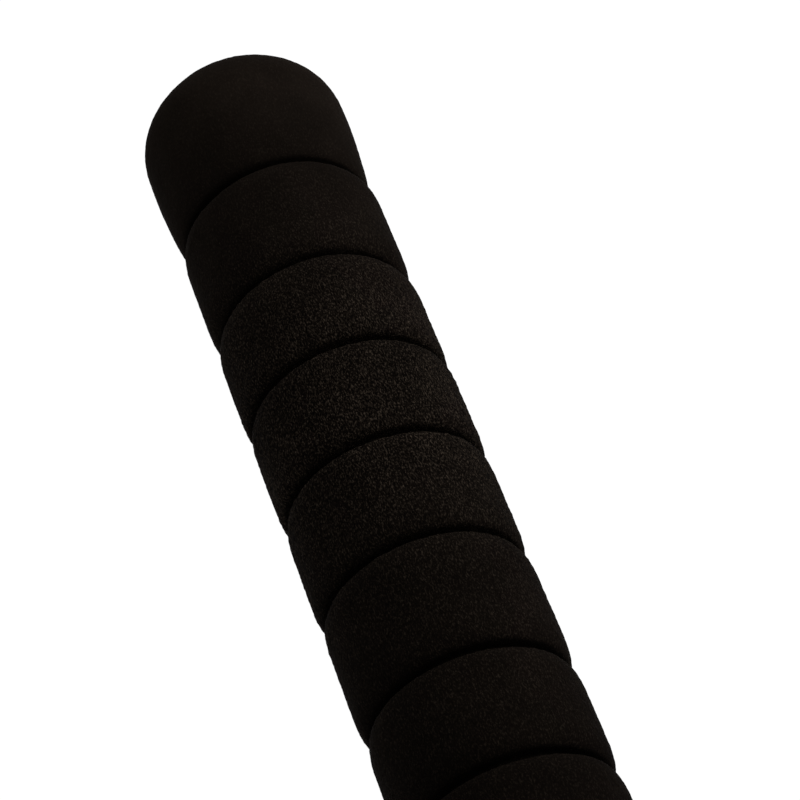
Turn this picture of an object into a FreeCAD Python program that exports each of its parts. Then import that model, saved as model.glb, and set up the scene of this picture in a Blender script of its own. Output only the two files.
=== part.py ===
import FreeCAD, Part

# Jump rope handle: a ribbed foam grip on a plastic tube, with a ball bearing swivel for the rope.
#
# Every piece is drawn about its own X axis, which runs from the butt of the grip (x = 0) to the end that
# the rope leaves. The placement of each piece then centres the handle on X and lays it on z = 0, with +X
# towards the rope. All sizes are millimetres.

import os
import re

import Sketcher
from FreeCAD import Vector

# Driving sizes, kept in the spreadsheet "Sizes". Each can be changed by itself.
SIZES = {
    # Foam grip: a domed butt, then equal ribs between narrow ring grooves.
    "foam_radius": 15.2,
    "dome_rib": 28.2,
    "rib_pitch": 17.6,
    "groove_count": 7,
    "last_rib": 17.7,
    "groove_depth": 2.2,
    "groove_floor": 0.5,
    "rib_shoulder": 2.4,
    "crown_radius": 22.0,
    "dome_shoulder": 9.1,
    "butt_foam": 18.0,
    # Core tube, which stands out of the foam into the nose cap and snaps in there.
    "tube_wall": 2.0,
    "tube_reach": 10.0,
    "snap_place": 5.0,
    "snap_depth": 0.45,
    "snap_width": 0.8,
    "snap_play": 0.1,
    # Butt plug, which closes the tube inside the foam.
    "plug_flange": 1.5,
    "plug_spigot": 8.0,
    "plug_wall": 1.6,
    # Deep groove ball bearing with two shields, 8 x 16 x 5.
    "bearing_bore": 4.0,
    "bearing_radius": 8.0,
    "bearing_width": 5.0,
    "bearing_lip": 1.0,
    "ball_radius": 1.19,
    "ball_count": 9,
    "ball_play": 0.02,
    "race_margin": 0.05,
    "land_offset": 0.75,
    "ring_edge": 0.25,
    "shield_seat": 0.4,
    "shield_depth": 0.55,
    "shield_thickness": 0.3,
    "shield_gap": 0.2,
    "cage_width": 3.4,
    "cage_gap": 0.35,
    "pocket_play": 0.12,
    # Nose cap, with a dust seal in its mouth.
    "cap_setback": 1.0,
    "cap_band": 3.0,
    "cap_wall": 2.2,
    "cap_shoulder": 1.4,
    "cap_edge": 1.0,
    "flute_count": 12,
    "flute_radius": 3.0,
    "flute_depth": 0.8,
    "seal_width": 1.0,
    "seal_height": 1.7,
    "seal_setback": 0.6,
    "running_gap": 0.1,
    # Swivel barrel, which holds the rope, with its screws, washer and circlip.
    "rope_radius": 2.65,
    "collar_step": 0.45,
    "nose_gap": 0.6,
    "nose_length": 9.4,
    "nose_edge": 0.8,
    "flat_inset": 0.8,
    "barrel_tail": 2.2,
    "washer_width": 1.0,
    "washer_play": 0.05,
    "circlip_width": 0.8,
    "circlip_play": 0.1,
    "circlip_bite": 0.2,
    "circlip_band": 1.1,
    "circlip_mouth": 0.9,
    "lug_radius": 0.9,
    "lug_hole": 0.4,
    "screw_radius": 1.5,
    "screw_length": 3.0,
    "screw_count": 2,
    "screw_spacing": 4.0,
    "screw_sunk": 0.15,
    "screw_lift": 0.2,
    "thread_bite": 0.1,
    "key_radius": 0.87,
    "key_depth": 1.3,
}

# Places and fitted sizes, worked out from the sizes above and kept in the variable set "Places".
PLACES = {
    "foam_length": "dome_rib + (groove_count - 1) * rib_pitch + last_rib",
    "tube_bore": "bearing_radius - bearing_lip",
    "tube_radius": "tube_bore + tube_wall",
    "tube_start": "butt_foam + plug_flange",
    "tube_end": "foam_length + tube_reach",
    "snap_middle": "tube_end - snap_place",
    "bearing_middle": "tube_end + bearing_width / 2",
    "bearing_front": "tube_end + bearing_width",
    "pitch_radius": "(bearing_bore + bearing_radius) / 2",
    "race_radius": "ball_radius + race_margin",
    "inner_land": "pitch_radius - land_offset",
    "outer_land": "pitch_radius + land_offset",
    "inner_race": "pitch_radius - ball_radius - ball_play + race_radius",
    "outer_race": "pitch_radius + ball_radius + ball_play - race_radius",
    "shield_rim": "outer_land + shield_seat",
    "shield_eye": "inner_land + shield_gap",
    "collar_radius": "inner_land - collar_step",
    "seal_bore": "collar_radius + running_gap",
    "seal_radius": "seal_bore + seal_height",
    "seal_rear": "bearing_front + cap_shoulder",
    "seal_front": "seal_rear + seal_width",
    "cap_front": "seal_front + seal_setback",
    "cap_radius": "foam_radius - cap_setback",
    "cap_nose": "bearing_radius + cap_wall",
    "nose_rear": "cap_front + nose_gap",
    "overall_length": "nose_rear + nose_length",
    "screw_top": "rope_radius + screw_lift + screw_length",
    "flat_height": "screw_top + screw_sunk",
    "nose_radius": "flat_height + flat_inset",
    "washer_rear": "tube_end - washer_width",
    "circlip_rear": "washer_rear - circlip_width",
    "circlip_seat": "bearing_bore - circlip_bite",
    "circlip_radius": "circlip_seat + circlip_band",
    "lug_side": "circlip_mouth / 2 + lug_radius",
    "barrel_rear": "circlip_rear - circlip_play - barrel_tail",
    "screw_first": "nose_rear + (nose_length - (screw_count - 1) * screw_spacing) / 2",
}

HOLDERS = {**dict.fromkeys(SIZES, "Sizes."), **dict.fromkeys(PLACES, "Places.")}

document = FreeCAD.newDocument("jump_rope_handle")


# ---------------------------------------------------------------- sizes and formulas


def formula(text):
    """Put the holder's name before each size in a formula: "tube_end" becomes "Places.tube_end"."""
    return re.sub(r"[a-z]\w*", lambda word: HOLDERS.get(word[0], "") + word[0], text)


def value(text):
    """What a formula comes to at the present sizes."""
    return float(document.getObject("Sizes").evalExpression(formula(text)))


def bind(target, path, text):
    """Tie one property of an object to a formula."""
    target.setExpression(path, formula(text))


def write_sizes():
    """Fill the spreadsheet with the driving sizes, one named cell each."""
    sheet = document.addObject("Spreadsheet::Sheet", "Sizes")
    for row, (name, number) in enumerate(SIZES.items(), start=1):
        sheet.set(f"A{row}", name)
        sheet.set(f"B{row}", str(number))
        sheet.setAlias(f"B{row}", name)
    document.recompute()


def write_places():
    """Fill the variable set with the places and fitted sizes that follow from the spreadsheet."""
    places = document.addObject("App::VarSet", "Places")
    for name, text in PLACES.items():
        places.addProperty("App::PropertyFloat", name)
        bind(places, name, text)
    document.recompute()


# ---------------------------------------------------------------- sketches


def origin_feature(body, role):
    """The body's own origin plane or axis of this role, such as "XZ_Plane"."""
    return next(feature for feature in body.Origin.OriginFeatures if feature.Role == role)


def new_sketch(body, name, role):
    """An empty sketch on one of the body's origin planes."""
    sketch = body.newObject("Sketcher::SketchObject", name)
    sketch.AttachmentSupport = [(origin_feature(body, role), "")]
    sketch.MapMode = "FlatFace"
    return sketch


def size_constraint(sketch, name, text, *arguments):
    """Add one driving constraint, named, and tie it to a formula."""
    number = sketch.addConstraint(Sketcher.Constraint(*arguments, value(text)))
    sketch.renameConstraint(number, name)
    bind(sketch, f"Constraints.{name}", text)


def hold_point(sketch, name, geometry, end, across, up):
    """Hold one point of a sketch at (across, up) from its origin, each a formula or "0"."""
    for axis, kind, text, axis_line in (("a", "DistanceX", across, -2), ("u", "DistanceY", up, -1)):
        if text == "0":
            sketch.addConstraint(Sketcher.Constraint("PointOnObject", geometry, end, axis_line))
        else:
            size_constraint(sketch, f"{name}_{axis}", text, kind, -1, 1, geometry, end)


def polygon(body, name, corners, role="XZ_Plane"):
    """A closed outline of straight lines through corners given as pairs of formulas."""
    sketch = new_sketch(body, name, role)
    points = [Vector(value(across), value(up), 0) for across, up in corners]
    count = len(points)
    for index, point in enumerate(points):
        sketch.addGeometry(Part.LineSegment(point, points[(index + 1) % count]), False)
    for index in range(count):
        sketch.addConstraint(Sketcher.Constraint("Coincident", index, 2, (index + 1) % count, 1))
    for index, (across, up) in enumerate(corners):
        hold_point(sketch, f"corner_{index}", index, 1, across, up)
    return sketch


def circles(body, name, role, rounds):
    """A sketch of circles, each given as formulas (across, up, radius)."""
    sketch = new_sketch(body, name, role)
    for index, (across, up, radius) in enumerate(rounds):
        centre = Vector(value(across), value(up), 0)
        sketch.addGeometry(Part.Circle(centre, Vector(0, 0, 1), value(radius)), False)
        hold_point(sketch, f"centre_{index}", index, 3, across, up)
        size_constraint(sketch, f"radius_{index}", radius, "Radius", index)
    return sketch


def at_station(sketch, text):
    """Move a sketch on the YZ plane along the handle to the station x given by a formula."""
    bind(sketch, "AttachmentOffset.Base.z", text)
    return sketch


# ---------------------------------------------------------------- features


def new_body(label):
    """A body on the handle's axis, centred on X and lying on z = 0."""
    body = document.addObject("PartDesign::Body", label)
    body.Label = label
    bind(body, "Placement.Base.x", "-overall_length / 2")
    bind(body, "Placement.Base.z", "foam_radius")
    return body


def turned(body, kind, sketch):
    """Turn a sketch full circle about the handle's axis: "Revolution" adds and "Groove" cuts."""
    feature = body.newObject(f"PartDesign::{kind}", f"{sketch.Name}_{kind.lower()}")
    feature.Profile = sketch
    feature.ReferenceAxis = (sketch, ["H_Axis"])
    feature.Angle = 360
    document.recompute()
    return feature


def pocket(body, sketch, reverse):
    """Cut a sketch right through the body, on one side of its plane."""
    feature = body.newObject("PartDesign::Pocket", f"{sketch.Name}_pocket")
    feature.Profile = sketch
    feature.Type = "ThroughAll"
    feature.Reversed = reverse
    document.recompute()
    return feature


def pad(body, sketch, length):
    """Thicken a sketch along +X by a length given as a formula."""
    feature = body.newObject("PartDesign::Pad", f"{sketch.Name}_pad")
    feature.Profile = sketch
    bind(feature, "Length", length)
    document.recompute()
    return feature


def repeat_along(body, feature, spacing, count):
    """Repeat a feature along the handle."""
    pattern = body.newObject("PartDesign::LinearPattern", f"{feature.Name}_row")
    pattern.Originals = [feature]
    pattern.Direction = (origin_feature(body, "X_Axis"), [""])
    bind(pattern, "Length", f"{spacing} * ({count} - 1)")
    bind(pattern, "Occurrences", count)
    body.Tip = pattern
    document.recompute()
    return pattern


def repeat_around(body, feature, count):
    """Repeat a feature evenly round the handle's axis."""
    pattern = body.newObject("PartDesign::PolarPattern", f"{feature.Name}_ring")
    pattern.Originals = [feature]
    pattern.Axis = (origin_feature(body, "X_Axis"), [""])
    pattern.Angle = 360
    bind(pattern, "Occurrences", count)
    body.Tip = pattern
    document.recompute()
    return pattern


def dress_rings(body, kind, size_name, size_text, rings):
    """Fillet or chamfer the round edges found at (station, radius) pairs of formulas."""
    base = body.Tip
    wanted = [(value(station), value(radius)) for station, radius in rings]
    names = []
    for number, edge in enumerate(base.Shape.Edges, start=1):
        if edge.Degenerated or not isinstance(edge.Curve, Part.Circle):
            continue
        found = (edge.Curve.Center.x, edge.Curve.Radius)
        if any(abs(found[0] - x) < 1e-4 and abs(found[1] - r) < 1e-4 for x, r in wanted):
            names.append(f"Edge{number}")
    if len(names) < len(wanted):
        raise RuntimeError(f"{body.Label}: an edge to dress is missing")
    feature = body.newObject(f"PartDesign::{kind}", f"{body.Name}_{kind.lower()}")
    feature.Base = (base, names)
    bind(feature, size_name, size_text)
    document.recompute()
    return feature


# ---------------------------------------------------------------- handle


def foam_outline(body):
    """Section of the grip: a crown arc and a shoulder arc make the dome, tangent to the straight side."""
    sketch = new_sketch(body, "foam_section", "XZ_Plane")
    length = value("foam_length")
    radius = value("foam_radius")
    crown = value("crown_radius")
    shoulder = value("dome_shoulder")
    rise = radius - shoulder
    shoulder_x = crown - ((crown - shoulder) ** 2 - rise**2) ** 0.5
    lean = Vector(crown - shoulder_x, -rise, 0).normalize()
    crown_centre = Vector(crown, 0, 0)
    shoulder_centre = Vector(shoulder_x, rise, 0)
    join = shoulder_centre - lean * shoulder
    tip = Vector(0, 0, 0)
    side = Vector(shoulder_x, radius, 0)
    corner = Vector(length, radius, 0)
    foot = Vector(length, 0, 0)
    crown_middle = crown_centre + ((tip + join) * 0.5 - crown_centre).normalize() * crown
    shoulder_middle = shoulder_centre + ((join + side) * 0.5 - shoulder_centre).normalize() * shoulder
    sketch.addGeometry(Part.Arc(tip, crown_middle, join), False)
    sketch.addGeometry(Part.Arc(join, shoulder_middle, side), False)
    sketch.addGeometry(Part.LineSegment(side, corner), False)
    sketch.addGeometry(Part.LineSegment(corner, foot), False)
    sketch.addGeometry(Part.LineSegment(foot, tip), False)
    # An arc's ends are numbered anticlockwise, so both arcs here end at the butt side.
    sketch.addConstraint(
        [
            Sketcher.Constraint("Coincident", 0, 2, -1, 1),
            Sketcher.Constraint("PointOnObject", 0, 3, -1),
            Sketcher.Constraint("Tangent", 0, 1, 1, 2),
            Sketcher.Constraint("Tangent", 1, 1, 2, 1),
            Sketcher.Constraint("Horizontal", 2),
            Sketcher.Constraint("Coincident", 2, 2, 3, 1),
            Sketcher.Constraint("Vertical", 3),
            Sketcher.Constraint("Coincident", 3, 2, 4, 1),
            Sketcher.Constraint("Coincident", 4, 2, -1, 1),
            Sketcher.Constraint("Horizontal", 4),
        ]
    )
    size_constraint(sketch, "crown_radius", "crown_radius", "Radius", 0)
    size_constraint(sketch, "dome_shoulder", "dome_shoulder", "Radius", 1)
    size_constraint(sketch, "foam_radius", "foam_radius", "DistanceY", 3, 2, 3, 1)
    size_constraint(sketch, "foam_length", "foam_length", "DistanceX", 4, 2, 4, 1)
    return sketch


def groove_outline(body):
    """Section of one ring groove: each rib rounds over by a shoulder arc down to a narrow floor."""
    sketch = new_sketch(body, "groove_section", "XZ_Plane")
    middle = value("dome_rib")
    crest = value("foam_radius")
    shoulder = value("rib_shoulder")
    depth = value("groove_depth")
    half_floor = value("groove_floor") / 2
    reach = (shoulder**2 - (shoulder - depth) ** 2) ** 0.5
    half_mouth = half_floor + reach
    above = crest + depth
    rear_mouth = Vector(middle - half_mouth, crest, 0)
    front_mouth = Vector(middle + half_mouth, crest, 0)
    rear_floor = Vector(middle - half_floor, crest - depth, 0)
    front_floor = Vector(middle + half_floor, crest - depth, 0)
    rear_centre = rear_mouth - Vector(0, shoulder, 0)
    front_centre = front_mouth - Vector(0, shoulder, 0)
    rear_bulge = rear_centre + ((rear_mouth + rear_floor) * 0.5 - rear_centre).normalize() * shoulder
    front_bulge = front_centre + ((front_mouth + front_floor) * 0.5 - front_centre).normalize() * shoulder
    sketch.addGeometry(Part.Arc(rear_mouth, rear_bulge, rear_floor), False)
    sketch.addGeometry(Part.LineSegment(rear_floor, front_floor), False)
    sketch.addGeometry(Part.Arc(front_floor, front_bulge, front_mouth), False)
    sketch.addGeometry(Part.LineSegment(front_mouth, Vector(front_mouth.x, above, 0)), False)
    sketch.addGeometry(
        Part.LineSegment(Vector(front_mouth.x, above, 0), Vector(rear_mouth.x, above, 0)), False
    )
    sketch.addGeometry(Part.LineSegment(Vector(rear_mouth.x, above, 0), rear_mouth), False)
    # Arc ends are numbered anticlockwise: 0 runs from floor to mouth, 2 from mouth to floor.
    sketch.addConstraint(
        [
            Sketcher.Constraint("Coincident", 0, 1, 1, 1),
            Sketcher.Constraint("Coincident", 1, 2, 2, 2),
            Sketcher.Constraint("Coincident", 2, 1, 3, 1),
            Sketcher.Constraint("Coincident", 3, 2, 4, 1),
            Sketcher.Constraint("Coincident", 4, 2, 5, 1),
            Sketcher.Constraint("Coincident", 5, 2, 0, 2),
            Sketcher.Constraint("Horizontal", 1),
            Sketcher.Constraint("Vertical", 3),
            Sketcher.Constraint("Horizontal", 4),
            Sketcher.Constraint("Vertical", 5),
            Sketcher.Constraint("Vertical", 0, 3, 0, 2),
            Sketcher.Constraint("Vertical", 2, 3, 2, 1),
            Sketcher.Constraint("Equal", 0, 2),
            Sketcher.Constraint("Horizontal", 0, 2, 2, 1),
        ]
    )
    size_constraint(sketch, "rib_shoulder", "rib_shoulder", "Radius", 0)
    size_constraint(sketch, "crest", "foam_radius", "DistanceY", -1, 1, 0, 2)
    size_constraint(sketch, "floor_height", "foam_radius - groove_depth", "DistanceY", -1, 1, 1, 1)
    size_constraint(sketch, "above", "foam_radius + groove_depth", "DistanceY", -1, 1, 4, 1)
    size_constraint(sketch, "floor_rear", "dome_rib - groove_floor / 2", "DistanceX", -1, 1, 1, 1)
    size_constraint(sketch, "floor_front", "dome_rib + groove_floor / 2", "DistanceX", -1, 1, 1, 2)
    return sketch


def foam_grip():
    """Soft closed-end sleeve: domed butt, ring grooves, and a blind bore for the core tube."""
    body = new_body("foam_grip")
    turned(body, "Revolution", foam_outline(body))
    dress_rings(body, "Fillet", "Radius", "rib_shoulder", [("foam_length", "foam_radius")])
    bore = [
        ("butt_foam", "0"),
        ("butt_foam", "tube_radius"),
        ("foam_length", "tube_radius"),
        ("foam_length", "0"),
    ]
    turned(body, "Groove", polygon(body, "foam_bore", bore))
    groove = turned(body, "Groove", groove_outline(body))
    repeat_along(body, groove, "rib_pitch", "groove_count")
    return body


def core_tube():
    """Stiff plastic tube that the foam is pushed onto; its end face holds the bearing in the cap."""
    body = new_body("core_tube")
    wall = [
        ("tube_start", "tube_bore"),
        ("tube_end", "tube_bore"),
        ("tube_end", "tube_radius"),
        ("tube_start", "tube_radius"),
    ]
    turned(body, "Revolution", polygon(body, "tube_wall_section", wall))
    snap = [
        ("snap_middle - snap_width / 2 - snap_depth", "tube_radius"),
        ("snap_middle - snap_width / 2", "tube_radius - snap_depth"),
        ("snap_middle + snap_width / 2", "tube_radius - snap_depth"),
        ("snap_middle + snap_width / 2 + snap_depth", "tube_radius"),
    ]
    turned(body, "Groove", polygon(body, "snap_groove", snap))
    return body


def butt_plug():
    """Cup-shaped plug pressed into the tube's inner end, so that the tube can't cut through the foam."""
    body = new_body("butt_plug")
    section = [
        ("butt_foam", "0"),
        ("butt_foam", "tube_radius"),
        ("tube_start", "tube_radius"),
        ("tube_start", "tube_bore"),
        ("tube_start + plug_spigot", "tube_bore"),
        ("tube_start + plug_spigot", "tube_bore - plug_wall"),
        ("tube_start", "tube_bore - plug_wall"),
        ("tube_start", "0"),
    ]
    turned(body, "Revolution", polygon(body, "plug_section", section))
    edge = [("tube_start + plug_spigot", "tube_bore")]
    dress_rings(body, "Chamfer", "Size", "plug_wall / 2", edge)
    return body


def nose_cap():
    """Tapered cap that snaps over the tube, seats the bearing and carries the dust seal."""
    body = new_body("nose_cap")
    bead_half = "(snap_width / 2 - snap_play)"
    bead_height = "(snap_depth - snap_play)"
    section = [
        ("foam_length", "tube_radius"),
        (f"snap_middle - {bead_half} - {bead_height}", "tube_radius"),
        (f"snap_middle - {bead_half}", f"tube_radius - {bead_height}"),
        (f"snap_middle + {bead_half}", f"tube_radius - {bead_height}"),
        (f"snap_middle + {bead_half} + {bead_height}", "tube_radius"),
        ("tube_end", "tube_radius"),
        ("tube_end", "bearing_radius"),
        ("bearing_front", "bearing_radius"),
        ("bearing_front", "collar_radius + seal_height / 2"),
        ("seal_rear", "collar_radius + seal_height / 2"),
        ("seal_rear", "seal_radius"),
        ("cap_front", "seal_radius"),
        ("cap_front", "cap_nose"),
        ("foam_length + cap_band", "cap_radius"),
        ("foam_length", "cap_radius"),
    ]
    turned(body, "Revolution", polygon(body, "cap_section", section))
    rims = [("foam_length", "cap_radius"), ("cap_front", "cap_nose")]
    dress_rings(body, "Fillet", "Radius", "cap_edge", rims)
    flute = [("0", "cap_radius - flute_depth + flute_radius", "flute_radius")]
    cut = pocket(body, circles(body, "flute_section", "YZ_Plane", flute), reverse=True)
    repeat_around(body, cut, "flute_count")
    return body


def dust_seal():
    """Rubber ring in the cap's mouth, just clear of the turning barrel."""
    body = new_body("dust_seal")
    section = [
        ("seal_rear", "seal_bore"),
        ("seal_rear", "seal_radius"),
        ("seal_front", "seal_radius"),
        ("seal_front", "seal_bore"),
    ]
    turned(body, "Revolution", polygon(body, "seal_section", section))
    return body


# ---------------------------------------------------------------- bearing


def race_groove(body, name, height):
    """Cut the ball track, a ring of round section whose middle line has this radius."""
    track = circles(body, name, "XZ_Plane", [("bearing_middle", height, "race_radius")])
    turned(body, "Groove", track)


def bearing_outer_ring():
    """Outer ring, held between the cap's shoulder and the tube's end, with a seat for each shield."""
    body = new_body("bearing_outer_ring")
    section = [
        ("tube_end", "shield_rim"),
        ("tube_end + shield_depth", "shield_rim"),
        ("tube_end + shield_depth", "outer_land"),
        ("bearing_front - shield_depth", "outer_land"),
        ("bearing_front - shield_depth", "shield_rim"),
        ("bearing_front", "shield_rim"),
        ("bearing_front", "bearing_radius"),
        ("tube_end", "bearing_radius"),
    ]
    turned(body, "Revolution", polygon(body, "outer_ring_section", section))
    rims = [("tube_end", "bearing_radius"), ("bearing_front", "bearing_radius")]
    dress_rings(body, "Fillet", "Radius", "ring_edge", rims)
    race_groove(body, "outer_race_section", "outer_race")
    return body


def bearing_inner_ring():
    """Inner ring, clamped on the barrel between its collar and the thrust washer."""
    body = new_body("bearing_inner_ring")
    section = [
        ("tube_end", "bearing_bore"),
        ("tube_end", "inner_land"),
        ("bearing_front", "inner_land"),
        ("bearing_front", "bearing_bore"),
    ]
    turned(body, "Revolution", polygon(body, "inner_ring_section", section))
    rims = [("tube_end", "bearing_bore"), ("bearing_front", "bearing_bore")]
    dress_rings(body, "Fillet", "Radius", "ring_edge", rims)
    race_groove(body, "inner_race_section", "inner_race")
    return body


def bearing_cage():
    """Ring with one round pocket for each ball."""
    body = new_body("bearing_cage")
    section = [
        ("bearing_middle - cage_width / 2", "inner_land + cage_gap"),
        ("bearing_middle - cage_width / 2", "outer_land - cage_gap"),
        ("bearing_middle + cage_width / 2", "outer_land - cage_gap"),
        ("bearing_middle + cage_width / 2", "inner_land + cage_gap"),
    ]
    turned(body, "Revolution", polygon(body, "cage_section", section))
    hole = [("bearing_middle", "0", "ball_radius + pocket_play")]
    cut = pocket(body, circles(body, "pocket_section", "XY_Plane", hole), reverse=True)
    repeat_around(body, cut, "ball_count")
    return body


def bearing_shield(label, outward):
    """Thin steel ring that closes one side of the bearing, against the step of its seat.

    outward is -1 for the rear shield and 1 for the front one.
    """
    body = new_body(label)
    inner_face = f"bearing_middle + {outward} * (bearing_width / 2 - shield_depth)"
    outer_face = f"bearing_middle + {outward} * (bearing_width / 2 - shield_depth + shield_thickness)"
    section = [
        (inner_face, "shield_eye"),
        (inner_face, "shield_rim"),
        (outer_face, "shield_rim"),
        (outer_face, "shield_eye"),
    ]
    turned(body, "Revolution", polygon(body, f"{label}_section", section))
    return body


def bearing_balls():
    """One steel ball in each pocket of the cage, evenly round the pitch circle."""
    balls = []
    for index in range(round(value("ball_count"))):
        ball = document.addObject("Part::Sphere", f"bearing_ball_{index + 1}")
        ball.Label = f"bearing_ball_{index + 1}"
        turn = f"({index} * 360 deg / ball_count)"
        bind(ball, "Radius", "ball_radius")
        bind(ball, "Placement.Base.x", "bearing_middle - overall_length / 2")
        bind(ball, "Placement.Base.y", f"pitch_radius * sin({turn})")
        bind(ball, "Placement.Base.z", f"foam_radius + pitch_radius * cos({turn})")
        balls.append(ball)
    return balls


# ---------------------------------------------------------------- swivel


def swivel_barrel():
    """Turned barrel through the bearing: the rope goes right through it and is held in its nose."""
    body = new_body("swivel_barrel")
    section = [
        ("barrel_rear", "rope_radius"),
        ("barrel_rear", "bearing_bore"),
        ("circlip_rear - circlip_play", "bearing_bore"),
        ("circlip_rear - circlip_play", "circlip_seat"),
        ("washer_rear", "circlip_seat"),
        ("washer_rear", "bearing_bore"),
        ("bearing_front", "bearing_bore"),
        ("bearing_front", "collar_radius"),
        ("nose_rear", "collar_radius"),
        ("nose_rear", "nose_radius"),
        ("overall_length", "nose_radius"),
        ("overall_length", "rope_radius"),
    ]
    turned(body, "Revolution", polygon(body, "barrel_section", section))
    mouth = [("overall_length", "rope_radius"), ("overall_length", "nose_radius")]
    dress_rings(body, "Fillet", "Radius", "nose_edge", mouth)
    for side, sign in (("top", ""), ("bottom", "-")):
        flat = [
            ("-nose_radius", f"{sign}flat_height"),
            ("nose_radius", f"{sign}flat_height"),
            ("nose_radius", f"{sign}nose_radius"),
            ("-nose_radius", f"{sign}nose_radius"),
        ]
        pocket(body, polygon(body, f"{side}_flat", flat, "YZ_Plane"), reverse=True)
    tapped = [("screw_first", "0", "screw_radius - thread_bite")]
    hole = pocket(body, circles(body, "screw_hole", "XY_Plane", tapped), reverse=True)
    repeat_along(body, hole, "screw_spacing", "screw_count")
    return body


def rope_clamp_screws():
    """Two socket grub screws in the barrel's nose, backed off so that the rope's bore is open."""
    screws = []
    for index in range(round(value("screw_count"))):
        shank = document.addObject("Part::Cylinder", f"grub_shank_{index + 1}")
        bind(shank, "Radius", "screw_radius")
        bind(shank, "Height", "screw_length")
        socket = document.addObject("Part::Prism", f"grub_socket_{index + 1}")
        socket.Polygon = 6
        bind(socket, "Circumradius", "key_radius")
        bind(socket, "Height", "2 * key_depth")
        bind(socket, "Placement.Base.z", "screw_length - key_depth")
        screw = document.addObject("Part::Cut", f"grub_screw_{index + 1}")
        screw.Base = shank
        screw.Tool = socket
        bind(screw, "Placement.Base.x", f"screw_first + {index} * screw_spacing")
        bind(screw, "Placement.Base.z", "screw_top - screw_length")
        screws.append(screw)
    group = document.addObject("Part::Compound", "rope_clamp_screws")
    group.Label = "rope_clamp_screws"
    group.Links = screws
    bind(group, "Placement.Base.x", "-overall_length / 2")
    bind(group, "Placement.Base.z", "foam_radius")
    return group


def thrust_washer():
    """Plain washer between the circlip and the bearing's inner ring."""
    body = new_body("thrust_washer")
    section = [
        ("washer_rear", "bearing_bore + washer_play"),
        ("washer_rear", "inner_land"),
        ("tube_end", "inner_land"),
        ("tube_end", "bearing_bore + washer_play"),
    ]
    turned(body, "Revolution", polygon(body, "washer_section", section))
    return body


def circlip():
    """Open spring ring in the barrel's groove, with two eyed lugs beside its mouth."""
    body = new_body("circlip")
    ring = circles(
        body, "circlip_ring", "YZ_Plane", [("0", "0", "circlip_radius"), ("0", "0", "circlip_seat")]
    )
    pad(body, at_station(ring, "circlip_rear"), "circlip_width")
    sides = ("-lug_side", "lug_side")
    lugs = circles(
        body, "circlip_lugs", "YZ_Plane", [(side, "circlip_radius", "lug_radius") for side in sides]
    )
    pad(body, at_station(lugs, "circlip_rear"), "circlip_width")
    eyes = circles(
        body, "circlip_eyes", "YZ_Plane", [(side, "circlip_radius", "lug_hole") for side in sides]
    )
    pocket(body, eyes, reverse=True)
    mouth = [
        ("-circlip_mouth / 2", "0"),
        ("circlip_mouth / 2", "0"),
        ("circlip_mouth / 2", "circlip_radius + 2 * lug_radius"),
        ("-circlip_mouth / 2", "circlip_radius + 2 * lug_radius"),
    ]
    pocket(body, polygon(body, "circlip_gap", mouth, "YZ_Plane"), reverse=True)
    return body


# ---------------------------------------------------------------- checks and files


def check_cuts(body):
    """Stop if a cutting feature of a body has removed nothing."""
    volume = 0.0
    for feature in body.Group:
        if not feature.isDerivedFrom("PartDesign::Feature"):
            continue
        cuts = feature.TypeId in ("PartDesign::Pocket", "PartDesign::Groove")
        if cuts and feature.Shape.Volume > volume - 1e-3:
            raise RuntimeError(f"{feature.Name} cuts nothing")
        volume = feature.Shape.Volume


def check_document(pieces):
    """Stop if any object failed, or any piece is empty, invalid or not closed."""
    for item in document.Objects:
        if "Invalid" in item.State or "Error" in item.State:
            raise RuntimeError(f"{item.Name} failed: {item.State}")
    for piece in pieces:
        if piece.Shape.isNull() or not piece.Shape.isValid():
            raise RuntimeError(f"{piece.Label} has no valid shape")
        if not all(solid.isClosed() for solid in piece.Shape.Solids):
            raise RuntimeError(f"{piece.Label} is not closed")
        if piece.TypeId == "PartDesign::Body":
            check_cuts(piece)


def write_pieces(pieces):
    """Write one STEP file for each piece, named after it."""
    os.makedirs("parts", exist_ok=True)
    for piece in pieces:
        piece.Shape.exportStep(f"parts/{piece.Label}.step")
        print(f"{piece.Label}: {len(piece.Shape.Solids)} solid, {piece.Shape.Volume:.1f} mm3")


write_sizes()
write_places()
handle = [foam_grip(), core_tube(), butt_plug(), nose_cap(), dust_seal()]
bearing = [
    bearing_outer_ring(),
    bearing_inner_ring(),
    bearing_cage(),
    bearing_shield("bearing_rear_shield", -1),
    bearing_shield("bearing_front_shield", 1),
    *bearing_balls(),
]
swivel = [swivel_barrel(), rope_clamp_screws(), thrust_washer(), circlip()]
document.recompute()
all_pieces = handle + bearing + swivel
check_document(all_pieces)
write_pieces(all_pieces)
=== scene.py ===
"""Jump rope handle: a ribbed foam grip with a ball bearing swivel, dressed around its CAD frame."""

import logging
from dataclasses import dataclass
from enum import Enum

import bpy
import numpy as np
from mathutils import Matrix, Vector


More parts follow.
